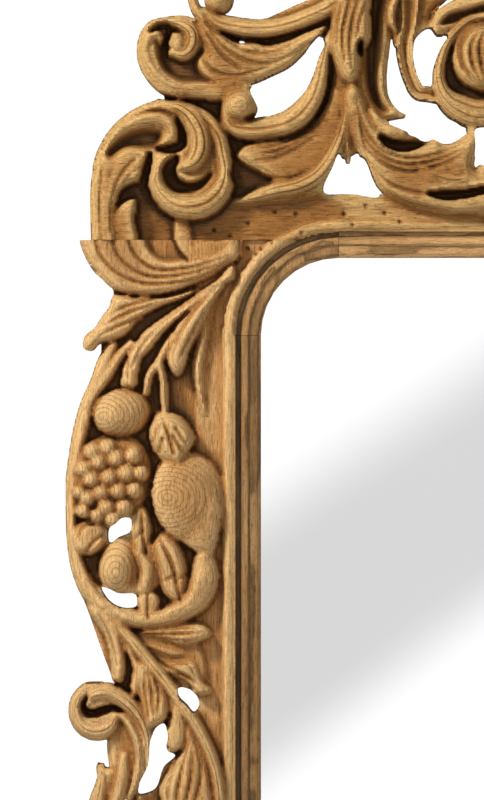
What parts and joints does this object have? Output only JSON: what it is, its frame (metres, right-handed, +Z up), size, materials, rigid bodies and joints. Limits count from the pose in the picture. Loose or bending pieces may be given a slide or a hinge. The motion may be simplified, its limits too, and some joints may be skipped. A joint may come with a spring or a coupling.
{
  "type": "wall mirror",
  "caption": "Tall wall mirror in a carved and pierced wooden frame of scrolling leaves, fruit and volutes, with a round-cornered liner.",
  "frame": {"origin": "where the crest's flat back bears on the wall, on the centre line just above the sight opening", "axes": "+Z up along the frame's height, +Y into the wall, the carved front faces -Y"},
  "size_m": [0.9894, 0.0587, 1.7632],
  "materials": {
    "carved_wood": "bare stripped wood, carved, darker in the recesses",
    "liner_wood": "bare wood, greyed and darker",
    "mirror": "silvered flat glass",
    "backing": "plain board"
  },
  "bodies": {
    "root": {"crest": "carved_wood", "bottom_rail": "carved_wood", "stile_left": "carved_wood", "stile_right": "carved_wood", "liner_top": "liner_wood", "liner_bottom": "liner_wood", "liner_left": "liner_wood", "liner_right": "liner_wood", "liner_corner_top_left": "liner_wood", "liner_corner_top_right": "liner_wood", "liner_corner_bottom_left": "liner_wood", "liner_corner_bottom_right": "liner_wood", "mirror_glass": "mirror", "backing_board": "backing"}
  },
  "joints": []
}
